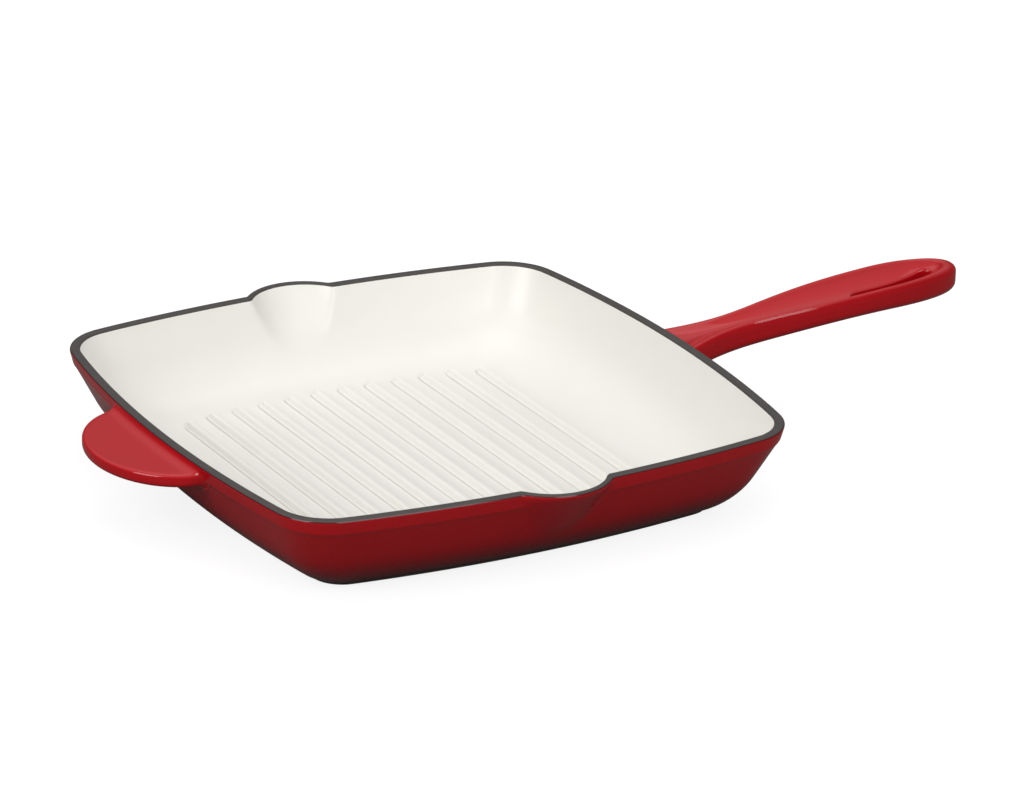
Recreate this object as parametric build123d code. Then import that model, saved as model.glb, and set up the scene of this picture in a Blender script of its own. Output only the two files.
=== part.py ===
from build123d import *
import os
from copy import deepcopy
from math import asin, atan2, cos, degrees, radians, sin, sqrt, tan

os.makedirs("parts", exist_ok=True)

# Square grill pan of enamelled cast iron: a bowed square well with cooking ribs, a pouring spout in the
# middle of two sides, a long slotted handle and a helper tab. The iron is one casting, and its coats are
# thin skins fused over it. The origin is the middle of the foot pad's underside, +X runs along the long
# handle and +Z is up. Lengths are in millimetres and angles in degrees.

# Rim and well
mouth_width = 252.0  # inside the rim, between the middles of two opposite sides
rim_width = 4.45
pan_height = 42.3
side_bow_radius = 621.0  # of the mouth's sides, seen from above
mouth_corner_radius = 23.0
well_draft = 25.4  # inner wall, from the vertical
floor_radius = 33.0  # from the floor up into the inner wall
floor_corner_radius = 24.0
floor_height = 6.5  # cooking floor above the table
rim_rounding = 1.2

# Outer wall
lip_height = 6.5  # steep band under the rim
lip_draft = 13.5
lip_rounding = 2.5
shoulder_height = 2.2  # from the lip in to the wall
shoulder_step = 1.4
wall_draft = 27.3
bowl_radius = 37.7  # from the wall round under the pan
bowl_height = 18.3  # where the bowl's curve begins, above the table
foot_corner_radius = 13.8
foot_height = 2.0
foot_step = 2.1  # from the bowl's edge in to the foot pad

# Cooking ribs
rib_count = 12
rib_pitch = 13.56
rib_height = 2.8
rib_width = 4.2  # at the floor
rib_draft = 16.0
rib_top_rounding = 0.7
rib_end_gap = 1.5  # from a rib's end to where the floor starts to rise

# Pouring spouts
spout_mouth_radius = 24.9  # of the trough, seen from above
spout_reach = 11.0  # of the trough's tip past the mouth's side
spout_lip_width = 3.8
spout_rounding = 2.0  # where a spout's outside leaves the wall
trough_slope = 0.92  # run in for each unit down
trough_depth = 26.0
trough_rounding = 2.0  # where a trough's side meets the well
spout_slope = 0.84
spout_depth = 31.0

# Long handle
handle_reach = 149.0  # from the rim to the tip
handle_width = 29.5
handle_drop = 1.6  # top of the handle's root below the rim
handle_rise = 14.4  # from the root's top to the tip's top
handle_crown = 2.4  # of the top's long curve over its chord
handle_root_depth = 13.5  # underside of the root below the rim
handle_bottom_rounding = 4.6
ridge_width = 2.6
groove_depth = 7.2
tip_width = 8.0  # of the top between the groove's end and the tip
slot_width = 7.8
slot_length = 43.0
slot_tip_gap = 12.5  # from the slot's end to the tip
slot_rounding = 1.0
# Stations from inside the wall to the widest place: shares of the reach, half width and groove depth
handle_station_shares = (
    (-0.075, 1.35, 0.26),
    (-0.016, 1.04, 0.28),
    (0.064, 0.77, 0.33),
    (0.178, 0.585, 0.42),
    (0.332, 0.72, 0.62),
    (0.50, 0.92, 0.86),
    (0.62, 0.985, 0.97),
    (0.735, 1.0, 1.0),
)
# Underside from the root to the tip: shares of the reach and of the root's depth
handle_under_shares = ((-0.075, 1.02), (0.0, 0.98), (0.178, 0.76), (0.50, 0.26), (0.80, 0.08), (1.0, 0.08))

# Helper tab
tab_reach = 27.5
tab_half_width = 42.0
tab_root_overlap = 6.5  # middle of the tab's oval inside the rim's face
tab_drop = 4.5  # top of the tab below the rim
tab_thickness = 6.0
tab_top_rounding = 1.5
tab_bottom_rounding = 2.4
tab_root_rounding = 2.0

# Coats
coat = 0.5  # thickness
rim_coat_wrap = 0.95  # down the inside of the rim
rim_coat_margin = 0.6  # the outer enamel comes over the rim's edge by this much
foot_coat_height = 1.0  # up the foot pad's side

# Construction
overrun = 6.0  # of cutting shapes past what they cut
groove_clearance = 1.5  # of the groove's cutter above the ridges
tolerance = 0.01
wall_steps = 5  # levels that shape each curve of the wall
groove_end_steps = 9

mouth_half = mouth_width / 2
rim_half = mouth_half + rim_width


def corner_centre(half, corner, bow):
    """Place on the diagonal of the corner arcs of a bowed square."""
    offset = bow - half
    return (sqrt(2 * (bow - corner) ** 2 - offset**2) - offset) / 2


def bowed_square(half, corner, bow):
    """Square face with four bowed sides and round corners."""
    place = corner_centre(half, corner, bow)
    offset = bow - half
    swing = degrees(atan2(place, place + offset))
    edges = []
    for turn in (0, 90, 180, 270):
        edges.append(Rot(0, 0, turn) * CenterArc((-offset, 0), bow, -swing, 2 * swing))
        edges.append(Rot(0, 0, turn) * CenterArc((place, place), corner, swing, 90 - 2 * swing))
    return make_face(edges)


def outline_reach(across, half, corner, bow):
    """Distance from the middle to a bowed square's edge, along a line that lies across from its axis."""
    place = corner_centre(half, corner, bow)
    if across > place:
        return place + sqrt(corner**2 - (across - place) ** 2)
    return half - bow + sqrt(bow**2 - across**2)


def side_bow(half):
    """Bow radius of a level's sides, concentric with the mouth's."""
    return side_bow_radius + half - mouth_half


def level_edges(body, height):
    """Edges of a body that lie flat at a height."""
    boxes = [(edge, edge.bounding_box()) for edge in body.edges()]
    return [edge for edge, box in boxes if box.size.Z < tolerance and abs(box.min.Z - height) < tolerance]


def join(body, piece, rounding):
    """Body with a piece joined on, and the joint between them rounded if there is a rounding."""
    joined = body + piece
    return fillet(new_edges(body, piece, combined=joined), rounding) if rounding else joined


# Inside of the pan

well_lean = radians(well_draft)
floor_arc_height = floor_height + floor_radius
floor_arc_top = floor_arc_height - floor_radius * sin(well_lean)
floor_half = mouth_half - (pan_height - floor_arc_top) * tan(well_lean) - floor_radius * cos(well_lean)


def well_level(height, half, outset):
    """Outline of the well at a height, with its corner between the floor's and the mouth's."""
    share = (half - floor_half) / (mouth_half - floor_half)
    corner = floor_corner_radius + share * (mouth_corner_radius - floor_corner_radius)
    return Pos(0, 0, height) * bowed_square(half, corner + outset, side_bow(half))


def well(outset):
    """Space inside the pan without its troughs and ribs, up past the rim."""
    radius = floor_radius + outset
    levels = []
    for step in range(wall_steps + 1):
        angle = radians(90) + (well_lean - radians(90)) * step / wall_steps
        levels.append((floor_arc_height - radius * sin(angle), floor_half + radius * cos(angle)))
    arc_top, arc_half = levels[-1]
    top = pan_height + overrun
    outlines = [well_level(height, half, outset) for height, half in levels]
    mouth = well_level(top, arc_half + (top - arc_top) * tan(well_lean), outset)
    return loft(outlines) + loft([outlines[-1], mouth], ruled=True)


spout_centre = mouth_half + spout_reach - spout_mouth_radius


def spout_column(radius, slope, top, bottom, side):
    """Slanting round column whose front edge runs in as it goes down; side is 1 or -1."""
    sections = []
    for height in (top, bottom):
        run = slope * (pan_height - height)
        sections.append(Pos(0, side * (spout_centre - run), height) * Circle(radius))
    return loft(sections, ruled=True)


def cavity(outset):
    """Space inside the pan and its spouts, without ribs."""
    radius = spout_mouth_radius + outset / cos(atan2(trough_slope, 1))
    space = well(outset)
    for side in (-1, 1):
        trough = spout_column(radius, trough_slope, pan_height + overrun, pan_height - trough_depth, side)
        space = join(space, trough, trough_rounding - outset)
    return space


rib_root = coat / 2  # below the floor that a rib stands on


def ribs(inset):
    """Cooking ribs along Y, each with round ends that follow the flat floor's edge."""
    height = rib_height + rib_root
    lean = radians(rib_draft)
    widening = 2 * ((inset + rib_root) * tan(lean) - inset / cos(lean))
    rows = []
    for row in range(rib_count):
        across = (row - (rib_count - 1) / 2) * rib_pitch
        reach = outline_reach(abs(across), floor_half, floor_corner_radius, side_bow(floor_half))
        outline = SlotOverall(2 * (reach - rib_end_gap) + widening, rib_width + widening, rotation=90)
        bar = extrude(outline, height, taper=rib_draft)
        bar = fillet(level_edges(bar, height), rib_top_rounding - inset / 2)
        rows.append(Pos(across, 0, floor_height - inset - rib_root) * bar)
    return rows


# Outside of the pan

wall_lean = radians(wall_draft)
lip_half = rim_half - lip_height * tan(radians(lip_draft))
shoulder_top = pan_height - lip_height - shoulder_height
shoulder_half = lip_half - shoulder_step
bowl_half = shoulder_half - (shoulder_top - bowl_height) * tan(wall_lean)
bowl_arc_height = bowl_height + bowl_radius * sin(wall_lean)
bowl_arc_half = bowl_half - bowl_radius * cos(wall_lean)
bowl_edge_half = bowl_arc_half + sqrt(bowl_radius**2 - (bowl_arc_height - foot_height) ** 2)
foot_half = bowl_edge_half - foot_step


def outer_level(height, half):
    """Outline of the outer wall at a height, with its corner between the foot's and the rim's."""
    share = (half - bowl_edge_half) / (rim_half - bowl_edge_half)
    rim_corner = mouth_corner_radius + rim_width
    corner = foot_corner_radius + share * (rim_corner - foot_corner_radius)
    return Pos(0, 0, height) * bowed_square(half, corner, side_bow(half))


def wall_body(inset):
    """Filled outer shape of the bowl and lip, with the lip's lower edge rounded."""
    radius = bowl_radius - inset
    low_angle = asin((bowl_arc_height - foot_height - inset) / radius)
    levels = []
    for step in range(wall_steps + 1):
        angle = low_angle + (wall_lean - low_angle) * step / wall_steps
        levels.append((bowl_arc_height - radius * sin(angle), bowl_arc_half + radius * cos(angle)))
    lip_bottom = pan_height - lip_height
    lip_inset = inset / cos(radians(lip_draft))
    outlines = [outer_level(height, half) for height, half in levels]
    bowl_top = outer_level(shoulder_top, shoulder_half - inset / cos(wall_lean))
    lip_low = outer_level(lip_bottom, lip_half - lip_inset)
    lip_top = outer_level(pan_height - inset, rim_half - lip_inset)
    body = loft(outlines) + loft([outlines[-1], bowl_top], ruled=True)
    body += loft([bowl_top, lip_low], ruled=True)
    body += loft([lip_low, lip_top], ruled=True)
    return fillet(level_edges(body, lip_bottom), lip_rounding - inset)


def foot_pad(inset):
    """Flat pad that the pan stands on, up into the bowl."""
    outline = bowed_square(foot_half - inset, foot_corner_radius, side_bow(foot_half))
    return Pos(0, 0, inset) * extrude(outline, bowl_height - inset)


def pan_outside(inset):
    """Filled outer shape of the pan with its foot and spouts, without handle and tab."""
    body = wall_body(inset)
    radius = spout_mouth_radius + spout_lip_width - inset / cos(atan2(spout_slope, 1))
    for side in (-1, 1):
        spout = spout_column(radius, spout_slope, pan_height - inset, pan_height - spout_depth, side)
        body = join(body, spout, spout_rounding)
    return body + foot_pad(inset)


# Long handle

handle_half = handle_width / 2


def handle_place(share):
    """Distance along X of a share of the handle's reach."""
    return rim_half + share * handle_reach


root_place = handle_place(handle_station_shares[0][0])
belly_place = handle_place(handle_station_shares[-1][0])
tip_place = handle_place(1)


def handle_top(place):
    """Height of the handle's top at a distance along X."""
    share = (place - rim_half) / handle_reach
    return pan_height - handle_drop + handle_rise * share + 4 * handle_crown * share * (1 - share)


def handle_plan(inset):
    """Outline of the handle seen from above."""
    side_points = [(handle_place(s), w * handle_half - inset) for s, w, _ in handle_station_shares]
    side = Spline(side_points, tangents=[(1, -0.8), (1, 0)])
    end_reach = tip_place - belly_place - inset
    end = EllipticalCenterArc((belly_place, 0), end_reach, handle_half - inset, -90, arc_size=180)
    root = Line(side @ 0, mirror(side, Plane.XZ) @ 0)
    return make_face([side, end, mirror(side, Plane.XZ), root])


def handle_profile(inset):
    """Outline of the handle seen from the side, longer than the plan at the tip."""
    places = [root_place] + [handle_place(step / 5) for step in range(6)]
    top = Spline([(place, handle_top(place) - inset) for place in places])
    depths = [(handle_place(s), d * handle_root_depth - inset) for s, d in handle_under_shares]
    under = Spline([(place, pan_height - depth) for place, depth in depths])
    end_place = tip_place + overrun
    top_end = Line(top @ 1, (end_place, (top @ 1).Y))
    under_end = Line(under @ 1, (end_place, (under @ 1).Y))
    closing = [Line(top_end @ 1, under_end @ 1), Line(top @ 0, under @ 0)]
    return Plane.XZ * make_face([top, under, top_end, under_end] + closing)


def groove(outset):
    """Dished groove along the top of the handle, drawn in to an oval end round the slot."""
    stations = []
    for reach, width, depth in handle_station_shares:
        stations.append((handle_place(reach), width * handle_half - ridge_width, depth * groove_depth))
    end_reach = tip_place - tip_width - belly_place
    for step in range(1, groove_end_steps):
        angle = radians(90) * step / groove_end_steps
        half = (handle_half - ridge_width) * cos(angle)
        stations.append((belly_place + end_reach * sin(angle), half, groove_depth * cos(angle)))
    sections = []
    for place, half, depth in stations:
        radius = (half**2 + depth**2) / (2 * depth)
        lift = radius - depth - groove_clearance
        edge = sqrt((radius + outset) ** 2 - lift**2)
        start = handle_top(place) + groove_clearance
        lid = handle_top(place) + overrun
        left = (place, -edge, start)
        right = (place, edge, start)
        arc = ThreePointArc(left, (place, 0, start + lift - radius - outset), right)
        walls = Polyline(right, (place, edge, lid), (place, -edge, lid), left)
        sections.append(Face(Wire([arc] + walls.edges())))
    return loft(sections)


def slot(outset):
    """Hanging slot through the handle."""
    middle = tip_place - slot_tip_gap - slot_length / 2
    outline = SlotOverall(slot_length + 2 * outset, slot_width + 2 * outset)
    return Pos(middle, 0, 0) * extrude(outline, 2 * pan_height)


def handle(inset):
    """Long handle with its groove and hanging slot, its underside and the slot's edges rounded."""
    blank = extrude(handle_plan(inset), 2 * pan_height)
    blank &= Pos(0, handle_width, 0) * extrude(handle_profile(inset), 2 * handle_width)
    along = [edge for edge in blank.edges() if edge.bounding_box().size.X > handle_width]
    low = [edge for edge in along if edge.center().Z < pan_height]
    grooved = fillet(low, handle_bottom_rounding - inset) - groove(inset)
    opening = slot(inset)
    slotted = grooved - opening
    return fillet(new_edges(grooved, opening, combined=slotted), slot_rounding - inset)


# Helper tab


def tab(inset):
    """Helper tab opposite the handle, half of an oval in plan."""
    outline = Ellipse(tab_reach + tab_root_overlap - inset, tab_half_width - inset)
    thickness = tab_thickness - 2 * inset
    blank = extrude(outline, thickness)
    blank = fillet(level_edges(blank, thickness), tab_top_rounding - inset)
    blank = fillet(level_edges(blank, 0), tab_bottom_rounding - inset)
    return Pos(tab_root_overlap - rim_half, 0, pan_height - tab_drop - inset - thickness) * blank


# The whole pan and its core


def outside(inset):
    """Filled outer shape of the whole pan, with the rim's outer edge rounded."""
    body = pan_outside(inset) + handle(inset)
    body = join(body, tab(inset), 0 if inset else tab_root_rounding)
    return fillet(level_edges(body, pan_height - inset), rim_rounding - inset)


def hollow(body, space, inset):
    """Outer shape with the inside cut out and the rim's inner edge rounded."""
    pan = body - space
    top = level_edges(pan, pan_height - inset)
    inner = [edge for edge in top if space.distance_to(Vertex(edge @ 0.5)) < tolerance]
    return fillet(inner, rim_rounding - inset)


def rim_zone():
    """Space round the rim's top that the bare ground coat fills, inside the outer enamel's edge."""
    corner = mouth_corner_radius + rim_width - rim_coat_margin
    zone = extrude(bowed_square(rim_half - rim_coat_margin, corner, side_bow(rim_half)), overrun)
    for side in (-1, 1):
        spout = extrude(Circle(spout_mouth_radius + spout_lip_width - rim_coat_margin), overrun)
        zone = join(zone, Pos(0, side * spout_centre, 0) * spout, spout_rounding + rim_coat_margin)
    return Pos(0, 0, pan_height - rim_coat_wrap) * zone


def slab(low, high):
    """Space between two heights, wider than the whole pan."""
    reach = 2 * (tip_place + overrun)
    return Pos(0, 0, low) * extrude(Rectangle(reach, reach), high - low)


outer_body = outside(0)
inner_body = outside(coat)
space = cavity(0)
wide_space = cavity(coat)
core = hollow(deepcopy(inner_body), deepcopy(wide_space), coat)
rim = hollow(deepcopy(outer_body), deepcopy(space), 0) & rim_zone()
above = slab(pan_height - rim_coat_wrap, pan_height + 2 * overrun)
foot_space = slab(-overrun, foot_coat_height)
outer_skin = outer_body - inner_body - rim_zone()
inner_skin = wide_space - space - above

pieces = {
    "iron_casting": deepcopy(core) + ribs(coat),
    "interior_enamel": inner_skin + ribs(0) - ribs(coat),
    "exterior_enamel": deepcopy(outer_skin) - deepcopy(foot_space),
    "rim_coat": rim - core,
    "foot_coat": outer_skin & foot_space,
}
for name, piece in pieces.items():
    export_step(piece, f"parts/{name}.step")
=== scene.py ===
"""Square grill pan of enamelled cast iron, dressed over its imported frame.

The casting and its glass coats are drawn again as smooth skins of the same sizes: a gloss shows every facet
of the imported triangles, and the handle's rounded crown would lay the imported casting's sharp edge bare.
Lengths are in millimetres until a mesh is made.
"""

from __future__ import annotations

import logging
import math
from collections.abc import Callable, Sequence
from dataclasses import dataclass, field
from enum import Enum

import bmesh
import bpy
import numpy as np
from mathutils import Matrix, Vector

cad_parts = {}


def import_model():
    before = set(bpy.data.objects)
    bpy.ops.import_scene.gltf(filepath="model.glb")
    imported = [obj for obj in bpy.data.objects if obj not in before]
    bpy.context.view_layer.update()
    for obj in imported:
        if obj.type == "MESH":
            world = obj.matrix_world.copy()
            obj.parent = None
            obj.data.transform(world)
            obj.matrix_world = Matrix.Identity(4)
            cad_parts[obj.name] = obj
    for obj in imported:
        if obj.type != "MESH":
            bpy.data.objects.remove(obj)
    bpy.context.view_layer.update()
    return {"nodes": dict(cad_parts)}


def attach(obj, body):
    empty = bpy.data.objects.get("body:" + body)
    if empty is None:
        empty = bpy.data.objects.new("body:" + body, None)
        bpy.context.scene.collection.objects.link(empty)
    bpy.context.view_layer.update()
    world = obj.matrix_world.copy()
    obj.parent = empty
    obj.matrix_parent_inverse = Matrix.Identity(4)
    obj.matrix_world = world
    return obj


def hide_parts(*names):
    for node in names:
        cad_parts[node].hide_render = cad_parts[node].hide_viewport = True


LOG = logging.getLogger("grill_pan")
MM = 0.001
DOUBLED = 2e-6
SLIVER = 1e-6
NEAR_ZERO = 1e-6
BODY = "root"
THIN_COAT_AND_SHADE = "thin_coat_and_shade"
WHITE = (1.0, 1.0, 1.0, 1.0)


# Curves and grids


def rounded_path(corners: Sequence[tuple[float, float, float]], steps: int) -> np.ndarray:
    """Line through corners, each of which is an arc.

    Args:
        corners: Across, up and rounding radius of each corner. The ends stay sharp.
        steps: Straight steps in each arc.

    Returns:
        Points of the line, one row each.
    """
    points = [np.array(corners[0][:2])]
    for before, (across, up, radius), after in zip(corners, corners[1:], corners[2:]):
        here = np.array((across, up))
        back = np.array(before[:2]) - here
        ahead = np.array(after[:2]) - here
        back /= np.linalg.norm(back)
        ahead /= np.linalg.norm(ahead)
        turn = math.pi - math.acos(float(np.clip(back @ ahead, -1.0, 1.0)))
        middle = (back + ahead) / np.linalg.norm(back + ahead)
        centre = here + middle * radius / math.cos(turn / 2)
        start = here + back * radius * math.tan(turn / 2) - centre
        end = here + ahead * radius * math.tan(turn / 2) - centre
        for step in range(steps + 1):
            share = step / steps
            swing = math.sin((1 - share) * turn) * start + math.sin(share * turn) * end
            points.append(centre + swing / math.sin(turn))
    points.append(np.array(corners[-1][:2]))
    return np.array(points)


def filled_in(path: np.ndarray, spacing: float) -> np.ndarray:
    """Path with points added wherever two of its points are further apart than the spacing.

    Args:
        path: Points of the path, one row each.
        spacing: Largest distance left between two points.

    Returns:
        Points of the denser path.
    """
    points = [path[0]]
    for start, end in zip(path, path[1:]):
        steps = max(1, math.ceil(float(np.linalg.norm(end - start)) / spacing))
        points.extend(start + (end - start) * step / steps for step in range(1, steps + 1))
    return np.array(points)


def smooth_curve(
    places: Sequence[float], values: Sequence[float], start_slope: float, end_slope: float
) -> Callable[[np.ndarray], np.ndarray]:
    """Cubic spline with a given slope at each end, straight beyond its start.

    Args:
        places: Rising places of the points.
        values: Value at each place.
        start_slope: Slope at the first place.
        end_slope: Slope at the last place.

    Returns:
        Function from places to values.
    """
    x = np.array(places)
    y = np.array(values)
    gap = np.diff(x)
    rise = np.diff(y) / gap
    count = len(x)
    system = np.zeros((count, count))
    right = np.zeros(count)
    system[0, :2] = (2 * gap[0], gap[0])
    right[0] = 6 * (rise[0] - start_slope)
    system[-1, -2:] = (gap[-1], 2 * gap[-1])
    right[-1] = 6 * (end_slope - rise[-1])
    for row in range(1, count - 1):
        system[row, row - 1 : row + 2] = (gap[row - 1], 2 * (gap[row - 1] + gap[row]), gap[row])
        right[row] = 6 * (rise[row] - rise[row - 1])
    bend = np.linalg.solve(system, right)

    def curve(place: np.ndarray) -> np.ndarray:
        """Value of the spline at each place.

        Args:
            place: Places to read the spline at.

        Returns:
            Value at each place.
        """
        place = np.asarray(place, float)
        inside = np.clip(place, x[0], x[-1])
        part = np.clip(np.searchsorted(x, inside, side="right") - 1, 0, count - 2)
        ahead = x[part + 1] - inside
        behind = inside - x[part]
        width = gap[part]
        cubic = (bend[part] * ahead**3 + bend[part + 1] * behind**3) / (6 * width)
        line = (y[part] / width - bend[part] * width / 6) * ahead
        line += (y[part + 1] / width - bend[part + 1] * width / 6) * behind
        return cubic + line + start_slope * np.minimum(place - x[0], 0)

    return curve


def smooth_step(value: np.ndarray | float) -> np.ndarray | float:
    """Smooth rise from 0 to 1 as the value goes from 0 to 1."""
    share = np.clip(value, 0.0, 1.0)
    return share * share * (3 - 2 * share)


def smooth_larger(first: np.ndarray, second: np.ndarray, width: float) -> np.ndarray:
    """Larger of two values, with the change from one to the other rounded over a width."""
    share = np.clip(0.5 + 0.5 * (first - second) / width, 0.0, 1.0)
    return second + (first - second) * share + width * share * (1 - share)


def rounding_drop(distance: np.ndarray | float, radius: float) -> np.ndarray | float:
    """How far a rounded edge lies below the flat, at a distance from the edge's side."""
    short = np.clip(radius - np.asarray(distance, float), 0.0, radius)
    return radius - np.sqrt(radius**2 - short**2)


def upper_edge(outer: float, high: float, run: float, drop: float, steps: int) -> np.ndarray:
    """Rounded edge from a flat top out to the side, across and up."""
    swings = np.linspace(0, math.pi / 2, steps)
    return np.stack([outer - run * (1 - np.sin(swings)), high - drop * (1 - np.cos(swings))], axis=1)


def lower_edge(outer: float, low: float, run: float, rise: float, steps: int) -> np.ndarray:
    """Rounded edge from the side in to a flat underside, across and up."""
    swings = np.linspace(0, math.pi / 2, steps)
    return np.stack([outer - run * (1 - np.cos(swings)), low + rise * (1 - np.sin(swings))], axis=1)


def outward_normals(ring: np.ndarray) -> np.ndarray:
    """Directions out of a cut, across and up, with straight up where points are doubled.

    Args:
        ring: Points of the cut: along, across and up.

    Returns:
        Unit direction at each point, across and up.
    """
    tangent = np.gradient(ring[:, 1:], axis=0)
    normals = np.stack([-tangent[:, 1], tangent[:, 0]], axis=1)
    length = np.linalg.norm(normals, axis=1)
    steady = length > NEAR_ZERO
    normals[steady] /= length[steady, None]
    normals[~steady] = (0.0, 1.0)
    return normals


class MeshMaker:
    """Gathers grids of points and turns them into one mesh object."""

    def __init__(self) -> None:
        """Start with no points."""
        self.points: list[np.ndarray] = []
        self.faces: list[tuple[int, ...]] = []

    def add_grid(self, grid: np.ndarray, around: bool = False, flip: bool = False) -> None:
        """Add a grid of points with a face in each cell.

        Args:
            grid: Points in millimetres, rows by columns by 3.
            around: Whether the last column joins the first.
            flip: Whether the faces look the other way.
        """
        rows, columns = grid.shape[:2]
        first = sum(len(block) for block in self.points)
        self.points.append(grid.reshape(-1, 3))
        for row in range(rows - 1):
            for column in range(columns if around else columns - 1):
                beside = (column + 1) % columns
                low = first + row * columns
                high = low + columns
                face = (low + column, low + beside, high + beside, high + column)
                self.faces.append(face[::-1] if flip else face)

    def add_mirrored(self, grid: np.ndarray, flip: bool = False) -> None:
        """Add a grid and its mirror image across the plane through the handle."""
        self.add_grid(grid, flip=flip)
        self.add_grid(grid * np.array((1.0, -1.0, 1.0)), flip=not flip)

    def mesh_object(self, name: str) -> bpy.types.Object:
        """Make the object, with doubled points merged.

        Args:
            name: Name of the object and its mesh.

        Returns:
            Object at the origin, linked to the scene.
        """
        mesh = bpy.data.meshes.new(name)
        mesh.from_pydata(np.concatenate(self.points) * MM, [], self.faces)
        work = bmesh.new()
        work.from_mesh(mesh)
        bmesh.ops.remove_doubles(work, verts=work.verts, dist=DOUBLED)
        bmesh.ops.dissolve_degenerate(work, edges=work.edges, dist=SLIVER)
        work.to_mesh(mesh)
        work.free()
        return linked(name, mesh)


def linked(name: str, data: bpy.types.ID) -> bpy.types.Object:
    """New object of some data, at the origin and linked to the scene.

    Args:
        name: Name of the object.
        data: Mesh, lamp or camera of the object.

    Returns:
        The object.
    """
    thing = bpy.data.objects.new(name, data)
    bpy.context.scene.collection.objects.link(thing)
    return thing


def ring_skin(name: str, rows: Sequence[np.ndarray], flip: bool = True) -> bpy.types.Object:
    """Object whose skin runs through closed rings of points.

    Args:
        name: Name of the object and its mesh.
        rows: Rings of points in millimetres, in their order along the skin.
        flip: Whether the faces look the other way.

    Returns:
        Object of the skin.
    """
    maker = MeshMaker()
    maker.add_grid(np.array(rows), around=True, flip=flip)
    return maker.mesh_object(name)


def settle(thing: bpy.types.Object) -> bpy.types.Object:
    """Turn an object's modifiers into plain mesh and remove them.

    Args:
        thing: Object with modifiers.

    Returns:
        The same object.
    """
    bpy.context.view_layer.update()
    depsgraph = bpy.context.evaluated_depsgraph_get()
    mesh = bpy.data.meshes.new_from_object(thing.evaluated_get(depsgraph))
    thing.modifiers.clear()
    old = thing.data
    thing.data = mesh
    bpy.data.meshes.remove(old)
    mesh.name = thing.name
    return thing


def give_thickness(thing: bpy.types.Object, thickness: float) -> bpy.types.Object:
    """Turn an open skin into a closed wall that lies behind its faces.

    Args:
        thing: Object of the skin.
        thickness: Thickness of the wall, in millimetres.

    Returns:
        The same object.
    """
    wall = thing.modifiers.new("Wall", "SOLIDIFY")
    wall.thickness = thickness * MM
    wall.offset = -1.0
    return settle(thing)


def shrunk(thing: bpy.types.Object, distance: float) -> bpy.types.Object:
    """Move an object's whole surface inwards, then close its holes.

    Args:
        thing: Object to shrink.
        distance: How far its surface moves, in millimetres.

    Returns:
        The same object.
    """
    work = bmesh.new()
    work.from_mesh(thing.data)
    work.normal_update()
    inward = [vert.co - vert.normal * distance * MM for vert in work.verts]
    for vert, place in zip(work.verts, inward):
        vert.co = place
    bmesh.ops.holes_fill(work, edges=[edge for edge in work.edges if edge.is_boundary])
    work.to_mesh(thing.data)
    work.free()
    return thing


def joined(name: str, things: Sequence[bpy.types.Object]) -> bpy.types.Object:
    """One object made of several, under a new name.

    Args:
        name: Name of the new object and its mesh.
        things: Objects to join, whose meshes are removed.

    Returns:
        The new object.
    """
    work = bmesh.new()
    for thing in things:
        work.from_mesh(thing.data)
    mesh = bpy.data.meshes.new(name)
    work.to_mesh(mesh)
    work.free()
    for thing in things:
        bpy.data.meshes.remove(thing.data)
    return linked(name, mesh)


def smoothed(thing: bpy.types.Object, sharp_angle: float = 40.0) -> bpy.types.Object:
    """Object shaded smooth, but sharp where its faces turn by more than an angle in degrees.

    Args:
        thing: Object to shade.
        sharp_angle: Turn between two faces above which their edge is sharp.

    Returns:
        The same object.
    """
    mesh = thing.data
    mesh.polygons.foreach_set("use_smooth", [True] * len(mesh.polygons))
    mesh.set_sharp_from_angle(angle=math.radians(sharp_angle))
    return thing


# Node trees


def add_node(
    tree: bpy.types.NodeTree,
    kind: str,
    settings: dict[str, object] | None = None,
    inputs: dict[str | int, object] | None = None,
) -> bpy.types.Node:
    """Add a node with its settings, and its inputs either linked or set.

    Args:
        tree: Tree that gets the node.
        kind: Type of the node.
        settings: Properties to set.
        inputs: Sockets to link or values to set, by input name or number.

    Returns:
        The new node.
    """
    node = tree.nodes.new(kind)
    for name, value in (settings or {}).items():
        setattr(node, name, value)
    for key, value in (inputs or {}).items():
        if isinstance(value, bpy.types.NodeSocket):
            tree.links.new(value, node.inputs[key])
        else:
            node.inputs[key].default_value = value
    return node


def bare_tree(owner: bpy.types.Material | bpy.types.World) -> bpy.types.NodeTree:
    """Node tree of a material or world, emptied.

    Args:
        owner: Material or world whose nodes are built.

    Returns:
        Its node tree, without nodes.
    """
    owner.use_nodes = True
    owner.node_tree.nodes.clear()
    return owner.node_tree


def linear(hex_code: str) -> tuple[float, float, float, float]:
    """Linear colour of an sRGB hex value.

    Args:
        hex_code: Hash sign and six hex digits.

    Returns:
        Red, green, blue and an alpha of 1.
    """
    parts = [int(hex_code[place : place + 2], 16) / 255 for place in (1, 3, 5)]
    low, slope, lift, power = 0.04045, 12.92, 0.055, 2.4
    bent = [part / slope if part <= low else ((part + lift) / (1 + lift)) ** power for part in parts]
    return (bent[0], bent[1], bent[2], 1.0)


class Slot(Enum):
    """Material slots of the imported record."""

    IRON = "grey_iron"
    CREAM = "cream_enamel"
    RED = "red_enamel"
    GROUND = "ground_coat"


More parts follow.
